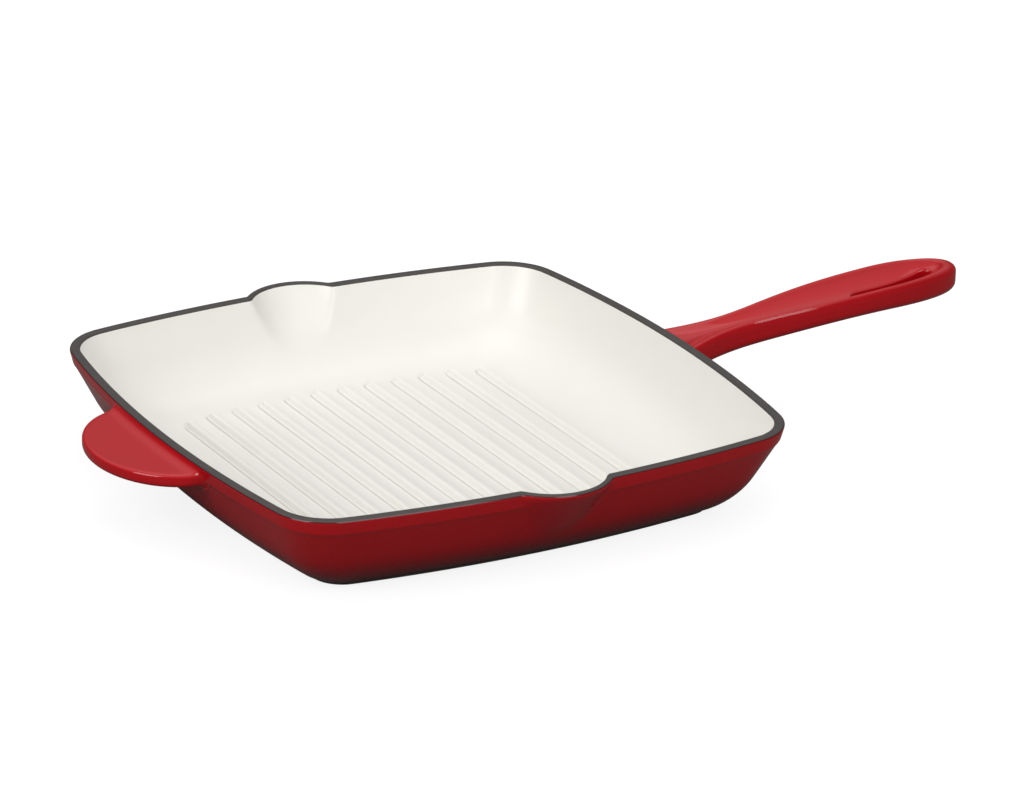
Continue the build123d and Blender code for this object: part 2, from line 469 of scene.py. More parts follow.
@dataclass(frozen=True)
class PanFinish:
    """Fired glass coat or bare iron: one colour with faint clouds, a soft ripple and its own gloss.

    Attributes:
        name: What the coat is.
        colour: Its main colour.
        cloud: Colour of its thicker or thinner clouds.
        cloud_size: Size of a cloud, in millimetres.
        ripple_size: Distance between the ripples of the glass or the grains of the iron, in millimetres.
        ripple_height: Height of the ripples, in millimetres.
        roughness: Roughness of the gloss.
        roughness_spread: How much the roughness varies.
        ior: Refractive index, which bare iron leaves at the usual value.
        thin_and_shade_colour: Colour where the coat thins out, and of painted shade, which the mesh says in
            its own attribute.
        cloud_detail: How many finer layers the clouds have.
        cloud_contrast: How strong the finer layers of the clouds are.
        ripple_detail: How many finer layers the ripples have.
        ripple_contrast: How strong the finer layers of the ripples are.
    """

    name: str
    colour: str
    cloud: str
    cloud_size: float
    ripple_size: float
    ripple_height: float
    roughness: float
    roughness_spread: float
    ior: float = 1.5
    thin_and_shade_colour: str = ""
    cloud_detail: float = 3.0
    cloud_contrast: float = 0.55
    ripple_detail: float = 2.0
    ripple_contrast: float = 0.5

    def material(self) -> bpy.types.Material:
        """Build the material.

        Returns:
            Material on Object coordinates.
        """
        material = bpy.data.materials.new(self.name)
        tree = bare_tree(material)
        place = add_node(tree, "ShaderNodeTexCoord").outputs["Object"]
        noises = []
        for size, detail, roughness in (
            (self.cloud_size, self.cloud_detail, self.cloud_contrast),
            (self.ripple_size, self.ripple_detail, self.ripple_contrast),
        ):
            inputs = {"Vector": place, "Scale": 1 / (size * MM), "Detail": detail, "Roughness": roughness}
            noises.append(add_node(tree, "ShaderNodeTexNoise", inputs=inputs).outputs["Fac"])
        clouds, ripple = noises
        changes = [(clouds, self.cloud)]
        # The attribute darkens the coat where it really thins over the rim, and carries painted shade towards
        # the foot
        if self.thin_and_shade_colour:
            thin_and_shade = add_node(tree, "ShaderNodeAttribute", {"attribute_name": THIN_COAT_AND_SHADE}).outputs["Fac"]
            changes.append((thin_and_shade, self.thin_and_shade_colour))
        colour = linear(self.colour)
        # Inputs 6 and 7 of a Mix node are its two colours, and output 2 is the mixed one
        for share, other in changes:
            inputs = {0: share, 6: colour, 7: linear(other)}
            colour = add_node(tree, "ShaderNodeMix", {"data_type": "RGBA"}, inputs).outputs[2]
        low, high = self.roughness - self.roughness_spread, self.roughness + self.roughness_spread
        gloss = add_node(tree, "ShaderNodeMapRange", inputs={"Value": clouds, "To Min": low, "To Max": high})
        height = self.ripple_height * MM
        bump = add_node(
            tree, "ShaderNodeBump", inputs={"Height": ripple, "Strength": 1.0, "Distance": height}
        )
        shader = add_node(
            tree,
            "ShaderNodeBsdfPrincipled",
            inputs={
                "Base Color": colour,
                "Roughness": gloss.outputs["Result"],
                "Normal": bump.outputs["Normal"],
                "IOR": self.ior,
            },
        )
        add_node(tree, "ShaderNodeOutputMaterial", inputs={"Surface": shader.outputs["BSDF"]})
        return material


# Glass fired over a pale ground: creamy and even, with a soft gloss that spreads a reflection
CREAM_ENAMEL = PanFinish(
    name="cream_vitreous_enamel",
    colour="#f0eee8",
    cloud="#edebe4",
    cloud_size=24.0,
    ripple_size=7.0,
    ripple_height=0.012,
    roughness=0.30,
    roughness_spread=0.04,
)

# Transparent red glass over dark ground: dark where it thins over the rim's edge, and darker towards the foot
# as painted shade
RED_ENAMEL = PanFinish(
    name="red_vitreous_enamel",
    colour="#bf0d18",
    cloud="#b20b16",
    cloud_size=30.0,
    ripple_size=9.0,
    ripple_height=0.010,
    roughness=0.09,
    roughness_spread=0.025,
    # Dark red of the thin coat at the rim, also painted on as shade towards the foot
    thin_and_shade_colour="#4a0c10",
)

# Ground coat left bare: matt, a dark warm grey, with a grain that barely shows
GROUND_COAT = PanFinish(
    name="matt_ground_coat_enamel",
    colour="#4a4543",
    cloud="#3d3a38",
    cloud_size=5.0,
    ripple_size=1.2,
    ripple_height=0.012,
    roughness=0.55,
    roughness_spread=0.06,
)

# Grey iron as cast: dark, rough and grainy from the sand
CAST_IRON = PanFinish(
    name="sand_cast_grey_iron",
    colour="#2f2f31",
    cloud="#272728",
    cloud_size=8.0,
    ripple_size=0.8,
    ripple_height=0.05,
    roughness=0.7,
    roughness_spread=0.08,
)


def dress(thing: bpy.types.Object, finish: PanFinish) -> None:
    """Give an object one finish and nothing else."""
    thing.data.materials.clear()
    thing.data.materials.append(finish.material())


# The pan


@dataclass(frozen=True)
class PanForm:
    """Sizes of the well, the outer wall and the spouts, in millimetres and radians.

    Heights stand above the table, but for the lip's and the shoulder's, which are their own. Depths go down
    from the rim. A trough is the inside of a spout, a crease is where a spout runs into its wall, and steps
    are counts.
    """

    mouth_half: float = 126.0
    rim_half: float = 130.45
    height: float = 42.3
    mouth_bow: float = 621.0
    mouth_corner: float = 23.0
    well_draft: float = math.radians(25.4)
    floor_radius: float = 33.0
    floor_corner: float = 24.0
    floor_height: float = 6.5
    rim_rounding: float = 1.2
    lip_height: float = 6.5
    lip_draft: float = math.radians(13.5)
    lip_rounding: float = 2.0
    shoulder_height: float = 2.2
    shoulder_step: float = 1.4
    shoulder_rounding: float = 1.4
    wall_draft: float = math.radians(27.3)
    bowl_radius: float = 37.7
    bowl_height: float = 18.3
    foot_corner: float = 13.8
    foot_height: float = 2.0
    foot_step: float = 2.1
    foot_rounding: float = 0.45
    foot_coat_height: float = 1.0
    spout_reach: float = 11.0
    trough_radius: float = 24.9
    trough_slope: float = 0.92
    trough_depth: float = 29.0
    trough_fade: float = 17.0
    trough_crease: float = 1.3
    spout_radius: float = 28.7
    spout_slope: float = 0.84
    spout_depth: float = 31.0
    spout_fade: float = 9.0
    spout_crease: float = 1.1
    rim_coat_wrap: float = 0.95
    coat: float = 0.5
    spacing: float = 3.0
    arc_steps: int = 12
    rim_split: int = 6
    well_steps: int = 15
    bowl_steps: int = 17
    foot_steps: int = 4
    foot_coat_steps: int = 5
    foot_coat_run: float = 4.0
    side_steps: int = 41
    corner_steps: int = 15
    spout_zone: float = 34.0
    spout_steps: int = 65
    beside_spout_steps: int = 14

    @property
    def floor_half(self) -> float:
        """Half width of the flat floor.

        Returns:
            Half width in millimetres.
        """
        arc_top = self.floor_height + self.floor_radius * (1 - math.sin(self.well_draft))
        run = (self.height - arc_top) * math.tan(self.well_draft)
        return self.mouth_half - run - self.floor_radius * math.cos(self.well_draft)

    @property
    def lip_half(self) -> float:
        """Half width at the lip's lower edge."""
        return self.rim_half - self.lip_height * math.tan(self.lip_draft)

    @property
    def bowl_centre(self) -> tuple[float, float]:
        """Half width and height of the centre of the bowl's curve.

        Returns:
            Half width and height in millimetres.
        """
        shoulder_top = self.height - self.lip_height - self.shoulder_height
        run = (shoulder_top - self.bowl_height) * math.tan(self.wall_draft)
        half = self.lip_half - self.shoulder_step - run - self.bowl_radius * math.cos(self.wall_draft)
        return half, self.bowl_height + self.bowl_radius * math.sin(self.wall_draft)

    @property
    def bowl_edge_half(self) -> float:
        """Half width where the bowl's curve ends above the foot."""
        half, height = self.bowl_centre
        return half + math.sqrt(self.bowl_radius**2 - (height - self.foot_height) ** 2)

    @property
    def foot_half(self) -> float:
        """Half width of the foot."""
        return self.bowl_edge_half - self.foot_step

    def side_bow(self, half: np.ndarray | float) -> np.ndarray | float:
        """Radius of the bow of a side that lies at a half width."""
        return self.mouth_bow + half - self.mouth_half

    def corner_place(self, half: float, corner: float) -> float:
        """How far a corner's centre lies from the middle, along X and along Y."""
        offset = self.side_bow(half) - half
        return (math.sqrt(2 * (self.side_bow(half) - corner) ** 2 - offset**2) - offset) / 2

    def cream_path(self) -> np.ndarray:
        """Half widths and heights from the floor's edge up the well to the bare rim.

        Returns:
            Half width and height of each point, one row each.
        """
        angles = np.linspace(math.pi / 2, self.well_draft, self.well_steps)
        across = self.floor_half + self.floor_radius * np.cos(angles)
        up = self.floor_height + self.floor_radius * (1 - np.sin(angles))
        end = np.array([self._wrap_end()])
        return filled_in(np.concatenate([np.stack([across, up], axis=1), end]), self.spacing)

    def _wrap_end(self) -> tuple[float, float]:
        """Half width and height where the rim's ground coat ends inside the well."""
        half = self.mouth_half - self.rim_coat_wrap * math.tan(self.well_draft)
        return half, self.height - self.rim_coat_wrap

    def _over_rim(self) -> np.ndarray:
        """Path from the coat's end inside the well, over the rim and down to the lip's lower edge.

        Returns:
            Half width and height of each point, one row each.
        """
        corners = [
            (*self._wrap_end(), 0.0),
            (self.mouth_half, self.height, self.rim_rounding),
            (self.rim_half, self.height, self.rim_rounding),
            (self.lip_half, self.height - self.lip_height, self.lip_rounding),
            (
                self.lip_half - self.shoulder_step,
                self.height - self.lip_height - self.shoulder_height,
                self.shoulder_rounding,
            ),
            (self.bowl_centre[0] + self.bowl_radius * math.cos(self.wall_draft), self.bowl_height, 0.0),
        ]
        return rounded_path(corners, self.arc_steps)

    def rim_path(self) -> np.ndarray:
        """Path of the bare ground coat over the rim."""
        return self._over_rim()[: self.arc_steps + 3 + self.rim_split]

    def red_path(self) -> np.ndarray:
        """Path of the red coat, from the rim's outer edge down to the foot.

        Returns:
            Half width and height of each point, one row each.
        """
        wall = self._over_rim()[self.arc_steps + 2 + self.rim_split :]
        half, height = self.bowl_centre
        low = math.asin((height - self.foot_height) / self.bowl_radius)
        angles = np.linspace(self.wall_draft, low, self.bowl_steps)[1:-1]
        spokes = self.bowl_radius * np.stack([np.cos(angles), -np.sin(angles)], axis=1)
        bowl = np.array((half, height)) + spokes
        step = [
            (*bowl[-1], 0.0),
            (self.bowl_edge_half, self.foot_height, self.foot_rounding),
            (self.foot_half, self.foot_height, self.foot_rounding),
            (self.foot_half, self.foot_coat_height, 0.0),
        ]
        foot = rounded_path(step, self.foot_steps)[1:]
        return filled_in(np.concatenate([wall, bowl, foot]), self.spacing)

    def foot_path(self) -> np.ndarray:
        """Path of the ground coat on the foot, from its side to its flat underside.

        Returns:
            Half width and height of each point, one row each.
        """
        corners = [
            (self.foot_half, self.foot_coat_height, 0.0),
            (self.foot_half, 0.0, self.foot_rounding),
            (self.foot_half - self.foot_coat_run, 0.0, 0.0),
        ]
        return rounded_path(corners, self.foot_coat_steps)

    def wall_reach(self, across: np.ndarray, height: np.ndarray) -> np.ndarray:
        """Distance from the middle to the outer wall, on the sides without a spout.

        Args:
            across: Distances along the side from its middle.
            height: Heights above the table.

        Returns:
            Distances out to the wall.
        """
        path = np.concatenate([self.rim_path()[-self.rim_split :], self.red_path()])[::-1]
        half = np.interp(height, path[:, 1], path[:, 0])
        bow = self.side_bow(half)
        return half - bow + np.sqrt(bow**2 - across**2)

    def _rolled(self, depth: float, slope: float) -> float:
        """How far the rim's rounding leaves a straight wall.

        Args:
            depth: Depth below the rim's top.
            slope: Run of the wall out of the metal for each millimetre down: negative on an overhang.

        Returns:
            Distance across, from the wall drawn on straight to the rounding.
        """
        size = self.rim_rounding
        lean = math.sqrt(1 + slope**2)
        if depth >= size * (1 - slope / lean):
            return 0.0
        return slope * (depth - size) + size * lean - math.sqrt(size**2 - (size - depth) ** 2)

    def inside_outline(self, half: float, height: float) -> np.ndarray:
        """Outline of the well and its troughs at one point of the path.

        Args:
            half: Half width of the point.
            height: Height of the point.

        Returns:
            Points round the outline, one row each.
        """
        depth = self.height - height
        grown = self._rolled(depth, math.tan(self.well_draft))
        share = (half - grown - self.floor_half) / (self.mouth_half - self.floor_half)
        corner = self.floor_corner + share * (self.mouth_corner - self.floor_corner) + grown
        centre = self._spout_centre() - self.trough_slope * depth
        radius = self.trough_radius + self._rolled(depth, self.trough_slope)
        fade = 1 - smooth_step((depth - self.trough_depth + self.trough_fade) / self.trough_fade)
        return self._outline(half, corner, centre, radius, self.trough_crease, fade)

    def outside_outline(self, half: float, height: float) -> np.ndarray:
        """Outline of the outer wall and its spouts at one point of the path.

        Args:
            half: Half width of the point.
            height: Height of the point.

        Returns:
            Points round the outline, one row each.
        """
        depth = self.height - height
        drawn_in = self._rolled(depth, -math.tan(self.lip_draft))
        span = self.rim_half - self.bowl_edge_half
        share = max(half + drawn_in - self.bowl_edge_half, 0.0) / span
        rim_corner = self.mouth_corner + self.rim_half - self.mouth_half
        corner = self.foot_corner + share * (rim_corner - self.foot_corner) - drawn_in
        centre = self._spout_centre() - self.spout_slope * depth
        radius = self.spout_radius - self._rolled(depth, -self.spout_slope)
        fade = 1 - smooth_step((depth - self.spout_depth + self.spout_fade) / self.spout_fade)
        return self._outline(half, corner, centre, radius, self.spout_crease, fade)

    def _spout_centre(self) -> float:
        """Distance from the middle to the centre of a spout's round, at the rim."""
        return self.mouth_half + self.spout_reach - self.trough_radius

    def _outline(
        self, half: float, corner: float, centre: float, radius: float, crease: float, fade: float
    ) -> np.ndarray:
        """Bowed square with round corners, and a spout's arc on the sides across from the handle.

        Args:
            half: Half width between the middles of two opposite sides.
            corner: Radius of the corners.
            centre: Distance from the middle to the centre of a spout's arc.
            radius: Radius of the spout's arc.
            crease: Width over which spout and side run together.
            fade: Share of the spout that is left.

        Returns:
            Points round the outline, one row each.
        """
        bow = self.side_bow(half)
        offset = bow - half
        place = self.corner_place(half, corner)
        swing = math.atan2(place, place + offset)
        plain = np.linspace(-place, place, self.side_steps)
        zone = self.spout_zone
        outer = np.linspace(zone, place, self.beside_spout_steps)[1:]
        with_spout = np.concatenate([-outer[::-1], np.linspace(-zone, zone, self.spout_steps), outer])
        angles = np.linspace(swing, math.pi / 2 - swing, self.corner_steps)[1:-1]
        arc = place + corner * np.stack([np.cos(angles), np.sin(angles)], axis=1)
        points = []
        for turn in range(4):
            across = with_spout if turn % 2 else plain
            reach = np.sqrt(bow**2 - across**2) - offset
            if turn % 2 and fade > 0:
                spout = centre + np.sqrt(np.maximum(radius**2 - across**2, 0.0))
                reach = reach + (smooth_larger(reach, spout, crease) - reach) * fade
            quarter = np.concatenate([np.stack([reach, across], axis=1), arc])
            angle = turn * math.pi / 2
            spin = np.array([[math.cos(angle), math.sin(angle)], [-math.sin(angle), math.cos(angle)]])
            points.append(quarter @ spin)
        return np.concatenate(points)


@dataclass(frozen=True)
class RibRow:
    """Cooking ribs: one bar with round ends, set out in a row and drawn out to the floor's edge.

    Lengths are in millimetres. The flanks run into the floor in a small hollow curve.
    """

    count: int = 12
    pitch: float = 13.56
    height: float = 2.8
    half_width: float = 2.1
    top_half: float = 1.3
    top_rounding: float = 1.0
    root_rounding: float = 1.3
    root_run: float = 1.2
    sunk: float = 0.3
    end_gap: float = 1.5
    end_stretch: float = 1.7
    bar_half: float = 10.0
    arc_steps: int = 6
    end_steps: int = 13

    def bar(self, floor_height: float) -> bpy.types.Object:
        """Make one short rib over the middle of the floor.

        Args:
            floor_height: Height of the floor above the table.

        Returns:
            Closed bar along Y.
        """
        corners = [
            (self.half_width + self.root_run, 0.0, 0.0),
            (self.half_width, 0.0, self.root_rounding),
            (self.top_half, self.height, self.top_rounding),
            (0.0, self.height, 0.0),
        ]
        flank = rounded_path(corners, self.arc_steps)
        path = np.concatenate([[(0.0, -self.sunk), (flank[0, 0], -self.sunk)], flank])
        turns = np.linspace(0.0, math.pi, self.end_steps)
        ends = [(math.cos(turn), self.end_stretch * math.sin(turn), self.bar_half) for turn in turns]
        ends += [(-wide, -long, -start) for wide, long, start in ends]
        rows = [
            [(across * wide, across * long + start, floor_height + up) for wide, long, start in ends]
            for across, up in path
        ]
        return ring_skin("rib", rows, flip=False)

    def set_out(self, bar: bpy.types.Object, pan: PanForm, finish: bpy.types.Material) -> bpy.types.Object:
        """Repeat the bar along X and draw each one out to its own length.

        Args:
            bar: Rib at the middle of the floor.
            pan: Pan whose floor the ribs fill.
            finish: Material of the ribs.

        Returns:
            Plain mesh of every rib.
        """
        sizes = {
            "Pitch": self.pitch,
            "Floor Half": pan.floor_half,
            "Floor Bow": pan.side_bow(pan.floor_half),
            "Floor Corner": pan.floor_corner,
            "Corner Place": pan.corner_place(pan.floor_half, pan.floor_corner),
            "End Gap": self.end_gap + self.half_width,
            "Bar Half": self.bar_half,
        }
        values = {"Count": ("NodeSocketInt", self.count)}
        values.update({name: ("NodeSocketFloat", size * MM) for name, size in sizes.items()})
        values["Finish"] = ("NodeSocketMaterial", finish)
        tree = bpy.data.node_groups.new("cooking_ribs", "GeometryNodeTree")
        new_socket = tree.interface.new_socket
        new_socket("Geometry", in_out="INPUT", socket_type="NodeSocketGeometry")
        keys = {
            name: new_socket(name, in_out="INPUT", socket_type=kind).identifier
            for name, (kind, _) in values.items()
        }
        new_socket("Geometry", in_out="OUTPUT", socket_type="NodeSocketGeometry")
        self._grow(tree)
        modifier = bar.modifiers.new("Ribs", "NODES")
        modifier.node_group = tree
        for name, (_, value) in values.items():
            modifier[keys[name]] = value
        return settle(bar)

    @staticmethod
    def _grow(tree: bpy.types.NodeTree) -> None:
        """Fill the tree: a row of points, a bar on each, and each bar's ends moved out to the floor's edge.

        Args:
            tree: Node group that has its sockets and no nodes.
        """

        given = add_node(tree, "NodeGroupInput").outputs
        place = add_node(tree, "GeometryNodeInputPosition").outputs[0]
        parts = add_node(tree, "ShaderNodeSeparateXYZ", inputs={0: place}).outputs
        name = "longer"
        kept = add_node(tree, "GeometryNodeInputNamedAttribute", {"data_type": "FLOAT"}, {"Name": name})
        sockets = {socket.name: socket for socket in given}
        sockets.update({"x": parts["X"], "y": parts["Y"], "kept growth": kept.outputs[0]})
        sums = (
            ("gaps", "SUBTRACT", "Count", 1.0),
            ("row length", "MULTIPLY", "gaps", "Pitch"),
            ("row start", "MULTIPLY", "row length", -0.5),
            ("across", "ABSOLUTE", "x"),
            ("across squared", "POWER", "across", 2.0),
            ("bow squared", "POWER", "Floor Bow", 2.0),
            ("bow height squared", "SUBTRACT", "bow squared", "across squared"),
            ("bow height", "SQRT", "bow height squared"),
            ("bow offset", "SUBTRACT", "Floor Bow", "Floor Half"),
            ("side", "SUBTRACT", "bow height", "bow offset"),
            ("past", "SUBTRACT", "across", "Corner Place"),
            ("past squared", "POWER", "past", 2.0),
            ("corner squared", "POWER", "Floor Corner", 2.0),
            ("corner height squared", "SUBTRACT", "corner squared", "past squared"),
            ("corner height allowed", "MAXIMUM", "corner height squared", 0.0),
            ("corner height", "SQRT", "corner height allowed"),
            ("corner", "ADD", "corner height", "Corner Place"),
            ("in corner", "GREATER_THAN", "past", 0.0),
            ("corner change", "SUBTRACT", "corner", "side"),
            ("change", "MULTIPLY", "in corner", "corner change"),
            ("reach", "ADD", "side", "change"),
            ("bar reach", "SUBTRACT", "reach", "End Gap"),
            ("growth", "SUBTRACT", "bar reach", "Bar Half"),
            ("way", "SIGN", "y"),
            ("shift", "MULTIPLY", "way", "kept growth"),
        )
        for result, operation, *terms in sums:
            inputs = {number: sockets.get(term, term) for number, term in enumerate(terms)}
            sockets[result] = add_node(tree, "ShaderNodeMath", {"operation": operation}, inputs).outputs[0]
        start = add_node(tree, "ShaderNodeCombineXYZ", inputs={"X": sockets["row start"]}).outputs[0]
        step = add_node(tree, "ShaderNodeCombineXYZ", inputs={"X": given["Pitch"]}).outputs[0]
        move = add_node(tree, "ShaderNodeCombineXYZ", inputs={"Y": sockets["shift"]}).outputs[0]
        line = {"Count": given["Count"], "Start Location": start, "Offset": step}
        shape = add_node(tree, "GeometryNodeMeshLine", inputs=line).outputs[0]
        stored = {"data_type": "FLOAT", "domain": "POINT"}
        for kind, settings, inputs in (
            ("GeometryNodeStoreNamedAttribute", stored, {"Name": name, "Value": sockets["growth"]}),
            ("GeometryNodeInstanceOnPoints", {}, {"Instance": given["Geometry"]}),
            ("GeometryNodeRealizeInstances", {}, {}),
            ("GeometryNodeSetPosition", {}, {"Offset": move}),
            ("GeometryNodeRemoveAttribute", {}, {"Name": name}),
            ("GeometryNodeSetMaterial", {}, {"Material": given["Finish"]}),
        ):
            shape = add_node(tree, kind, settings, {0: shape, **inputs}).outputs[0]
        add_node(tree, "NodeGroupOutput", inputs={0: shape})


# Handle and tab


@dataclass(frozen=True)
class RootBlend:
    """Hollow curve that carries a handle's skin onto the pan's wall.

    Attributes:
        pan: Pan whose wall the handle grows from.
        steps: Straight steps in the curve.
        stretch: How many times longer than high the curve is.
        halvings: How often the search for the wall halves its range.
    """

    pan: PanForm
    steps: int = 8
    stretch: float = 1.0
    halvings: int = 26

    def grow(
        self, keys: np.ndarray, table: np.ndarray, normals: np.ndarray, radii: np.ndarray, rest: np.ndarray
    ) -> np.ndarray:
        """Carry the columns of a grid onto the wall.

        Args:
            keys: Rising row numbers of the table.
            table: Points of the handle by row and column, the first rows inside the wall.
            normals: Outward direction of each column across and up, where it meets the wall.
            radii: Radius of the hollow curve at each column.
            rest: Shares of the way from the curve's end to the last row, for the remaining rows.

        Returns:
            Grid of points, the first row on the wall.
        """
        columns = table.shape[1]

        def at(key: np.ndarray) -> np.ndarray:
            """Point of each column at that column's own key.

            Args:
                key: Row number of each column, whole or not.

            Returns:
                Point of each column.
            """
            return np.array(
                [[np.interp(key[c], keys, table[:, c, axis]) for axis in range(3)] for c in range(columns)]
            )

        def settled(offset: np.ndarray, ahead: np.ndarray) -> tuple[np.ndarray, np.ndarray]:
            """Key and point of each column that lies ahead of the wall, moved out by an offset.

            Args:
                offset: How far each column's point lies off the handle's skin.
                ahead: How far each column's point lies off the wall.

            Returns:
                Row number and point of each column.
            """
            low = np.full(columns, keys[0])
            high = np.full(columns, keys[-1])
            for _ in range(self.halvings):
                middle = (low + high) / 2
                point = at(middle)
                point[:, 1:] += normals * offset[:, None]
                short = point[:, 0] < self.pan.wall_reach(point[:, 1], point[:, 2]) + ahead
                low = np.where(short, middle, low)
                high = np.where(short, high, middle)
            return middle, point

        rows = []
        for step in range(self.steps + 1):
            angle = math.pi / 2 * step / self.steps
            ahead = self.stretch * radii * (1 - math.cos(angle))
            key, point = settled(radii * (1 - math.sin(angle)), ahead)
            rows.append(point)
        rows.extend(at(key + (keys[-1] - key) * share) for share in rest)
        return np.array(rows)


@dataclass(frozen=True)
class LongHandle:
    """Long handle: a dished groove between two ridges, a hanging slot, and an oval end.

    Lengths are in millimetres. Steps and rows are counts. Each station is a share of the reach, then the
    shares of the half width and of the groove's depth there. Each row of the underside is a share of the
    reach, then the share of the root's depth there.
    """

    pan: PanForm
    reach: float = 149.0
    half_width: float = 14.75
    drop: float = 1.6
    rise: float = 14.4
    crown: float = 2.4
    root_depth: float = 13.5
    bottom_rounding: float = 4.6
    ridge_width: float = 2.6
    ridge_rounding: float = 1.1
    crown_share: float = 0.92
    crown_drop: float = 4.6
    groove_depth: float = 7.2
    tip_width: float = 8.0
    slot_half: float = 3.9
    slot_start: float = 227.85
    slot_end: float = 263.05
    slot_rounding: float = 1.0
    blend_end: float = 150.0
    # Where the handle grows from the wall, and the hollow curve that it does so with
    root_taper: float = -0.8
    under_slope: float = 0.04
    root_start: float = 118.0
    root_spacing: float = 1.0
    root_place: float = 132.0
    root_height: float = 35.0
    crest_hollow: float = 0.5
    side_hollow: float = 3.5
    side_fall: float = 3.0
    dish_hollow: float = 1.1
    dish_fall: float = 1.6
    # Rounding of the ridges' inner edges, and of the slot's upper edge
    ridge_share: float = 0.9
    ridge_pull: float = 0.6
    least_lean: float = 0.2
    collar_shares: tuple[float, ...] = (0.2, 0.45, 0.72, 0.92)
    # Points in each stretch of a cut, and cuts in each stretch of the handle
    groove_samples: int = 240
    groove_steps: int = 20
    ridge_steps: int = 6
    crown_steps: int = 12
    side_steps: int = 6
    heel_steps: int = 10
    sole_steps: int = 7
    collar_steps: int = 7
    blend_rows: int = 11
    shaft_rows: int = 46
    slot_start_rows: int = 9
    slot_rows: int = 24
    tip_rows: int = 27
    slot_wall_steps: int = 6
    stations: tuple[tuple[float, float, float], ...] = (
        (-0.075, 1.35, 0.26),
        (-0.016, 1.04, 0.28),
        (0.064, 0.77, 0.33),
        (0.178, 0.585, 0.42),
        (0.332, 0.72, 0.62),
        (0.50, 0.92, 0.86),
        (0.62, 0.985, 0.97),
        (0.735, 1.0, 1.0),
    )
    under: tuple[tuple[float, float], ...] = (
        (-0.075, 1.02),
        (0.0, 0.98),
        (0.178, 0.76),
        (0.50, 0.26),
        (0.80, 0.08),
        (1.0, 0.08),
    )
    curves: dict[str, Callable[[np.ndarray], np.ndarray]] = field(default_factory=dict)

    def place(self, share: float) -> float:
        """Distance along X of a share of the handle's reach."""
        return self.pan.rim_half + share * self.reach

    def _curve(self, name: str) -> Callable[[np.ndarray], np.ndarray]:
        """Named curve along the handle, made once.

        Args:
            name: One of half, depth and under.

        Returns:
            Function from places along X to values.
        """
        if name not in self.curves:
            places = [self.place(share) for share, *_ in self.stations]
            widths = [width * self.half_width for _, width, _ in self.stations]
            depths = [depth * self.groove_depth for _, _, depth in self.stations]
            unders = [self.pan.height - depth * self.root_depth for _, depth in self.under]
            under_places = [self.place(share) for share, _ in self.under]
            self.curves["half"] = smooth_curve(places, widths, self.root_taper, 0.0)
            self.curves["depth"] = smooth_curve(places, depths, 0.0, 0.0)
            self.curves["under"] = smooth_curve(under_places, unders, self.under_slope, 0.0)
        return self.curves[name]

    @property
    def belly(self) -> float:
        """Distance along X of the widest place."""
        return self.place(self.stations[-1][0])

    def top(self, along: np.ndarray) -> np.ndarray:
        """Height of the handle's top."""
        share = (along - self.pan.rim_half) / self.reach
        return self.pan.height - self.drop + self.rise * share + 4 * self.crown * share * (1 - share)

    def groove_sizes(self, along: np.ndarray) -> tuple[np.ndarray, np.ndarray]:
        """Half width and depth of the groove.

        Args:
            along: Distances along X.

        Returns:
            Half width and depth at each distance.
        """
        length = self.place(1.0) - self.tip_width - self.belly
        shrink = np.sqrt(np.clip(1 - (np.maximum(along - self.belly, 0) / length) ** 2, 0, 1))
        half = (self._curve("half")(along) - self.ridge_width) * shrink
        return half, self._curve("depth")(along) * shrink

    def groove(self, along: np.ndarray, across: np.ndarray) -> np.ndarray:
        """Height of the groove's surface.

        Args:
            along: Distances along X.
            across: Distances from the handle's middle.

        Returns:
            Height at each point.
        """
        half, depth = self.groove_sizes(along)
        depth = np.maximum(depth, NEAR_ZERO)
        radius = (half**2 + depth**2) / (2 * depth)
        return self.top(along) - depth + radius - np.sqrt(np.maximum(radius**2 - across**2, 0.0))

    def section(self, along: float, angle: float, slotted: bool) -> np.ndarray:
        """Half of a cut through the handle, from the top's middle round to the underside's middle.

        Args:
            along: Distance along X of the point that the cut starts from.
            angle: Direction of the cut in plan: 90 degrees is straight across.
            slotted: Whether the cut goes through the slot.

        Returns:
            Points in millimetres, one row each.
        """
        way = np.array((math.cos(angle), math.sin(angle)))
        oval = self.place(1.0) - self.belly
        outer, lean = self._edge(along, way, oval, self.half_width)
        ridge = self.ridge_width
        inner, _ = self._edge(along, way, oval - self.tip_width, self.half_width - ridge, ridge)
        collar, drops = self._slot_collar(along, angle, slotted)

        def spot(distance: np.ndarray) -> tuple[np.ndarray, np.ndarray]:
            """Place along and across of a distance in the cut."""
            return along + np.asarray(distance) * way[0], np.asarray(distance) * way[1]

        def under(distance: np.ndarray) -> np.ndarray:
            """Height of the underside at a distance in the cut."""
            return self._curve("under")(spot(distance)[0])

